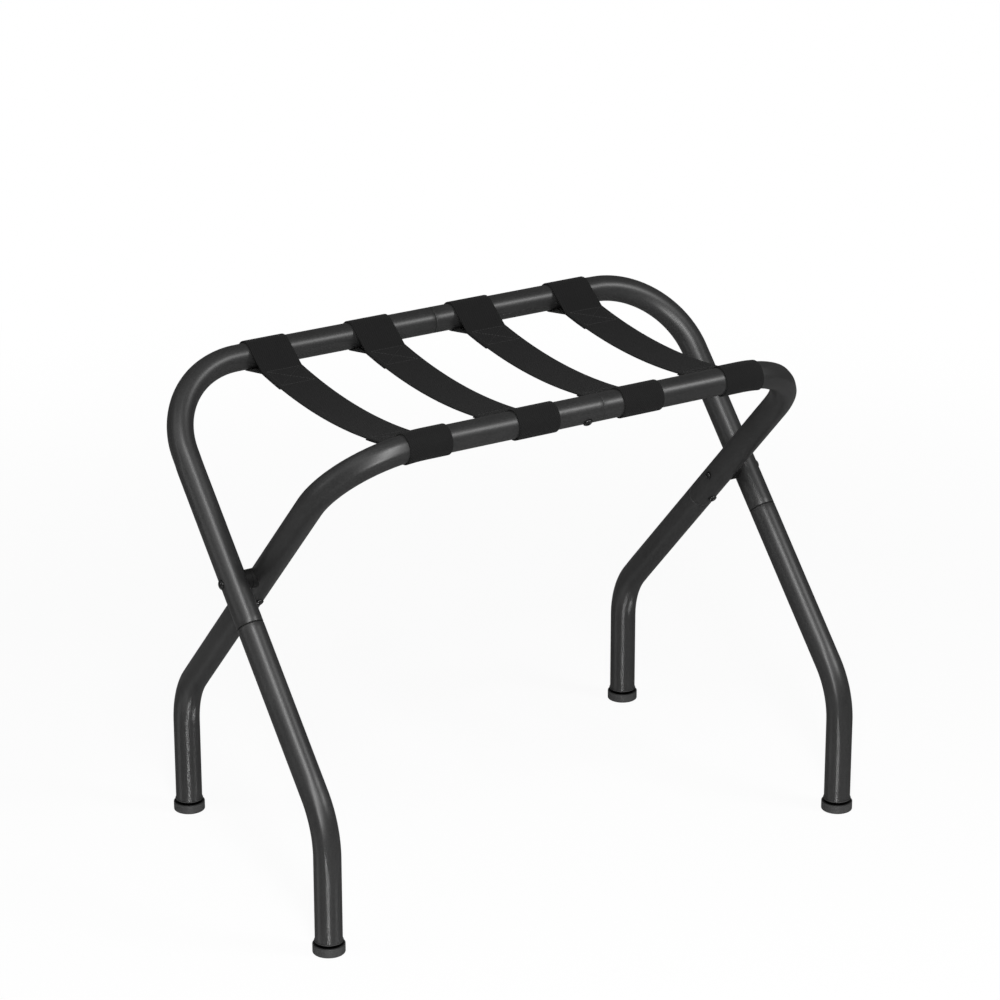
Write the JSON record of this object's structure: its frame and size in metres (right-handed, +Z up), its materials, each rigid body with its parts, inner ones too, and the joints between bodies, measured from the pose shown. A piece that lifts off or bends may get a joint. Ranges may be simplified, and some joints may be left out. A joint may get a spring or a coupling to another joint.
{
  "type": "folding luggage rack",
  "caption": "Folding luggage rack: two bent steel tube frames crossing on riveted scissor pivots, webbing straps between the top rails, and plastic foot caps.",
  "frame": {"origin": "on the floor, under the middle of the open rack", "axes": "+Z up, +X along the rails to the right, +Y to the rear: the inner frame's rail is at the front (-Y) and the outer frame's at the rear (+Y)"},
  "size_m": [0.6576, 0.3992, 0.5213],
  "materials": {
    "powder_coat": "satin black powder coat with a fine grain",
    "webbing": "flat woven black webbing, matt",
    "black_fastener": "black zinc, glossy",
    "bright_steel": "plain zinc-plated steel, inside the tubes",
    "foot_plastic": "moulded black plastic, satin",
    "saddle_plastic": "moulded black plastic, matt"
  },
  "bodies": {
    "outer_frame": {"rear_rail_screw": "black_fastener", "rear_rail_nut": "bright_steel", "outer_leg_screws": "black_fastener", "outer_leg_nuts": "bright_steel", "outer_tube_left": "powder_coat", "outer_tube_right": "powder_coat", "outer_leg_left": "powder_coat", "outer_leg_right": "powder_coat", "outer_saddle_left": "saddle_plastic", "outer_saddle_right": "saddle_plastic", "outer_foot_left": "foot_plastic", "outer_foot_right": "foot_plastic", "pivot_rivet_left": "black_fastener", "pivot_rivet_right": "black_fastener", "strap_1_web": "webbing", "strap_2_web": "webbing", "strap_3_web": "webbing", "strap_4_web": "webbing", "strap_1_rear_loop": "webbing", "strap_2_rear_loop": "webbing", "strap_3_rear_loop": "webbing", "strap_4_rear_loop": "webbing"},
    "inner_frame": {"front_rail_screw": "black_fastener", "front_rail_nut": "bright_steel", "inner_leg_screws": "black_fastener", "inner_leg_nuts": "bright_steel", "inner_tube_left": "powder_coat", "inner_tube_right": "powder_coat", "inner_leg_left": "powder_coat", "inner_leg_right": "powder_coat", "inner_saddle_left": "saddle_plastic", "inner_saddle_right": "saddle_plastic", "inner_foot_left": "foot_plastic", "inner_foot_right": "foot_plastic", "strap_1_front_loop": "webbing", "strap_2_front_loop": "webbing", "strap_3_front_loop": "webbing", "strap_4_front_loop": "webbing"}
  },
  "joints": [
    {"name": "fold", "type": "hinge", "parent": "outer_frame", "child": "inner_frame", "pos_m": [0, 0, 0.33223], "axis": [-1, 0, 0], "range_deg": [0, 78], "deforming": ["strap_1_web", "strap_2_web", "strap_3_web", "strap_4_web"]}
  ]
}
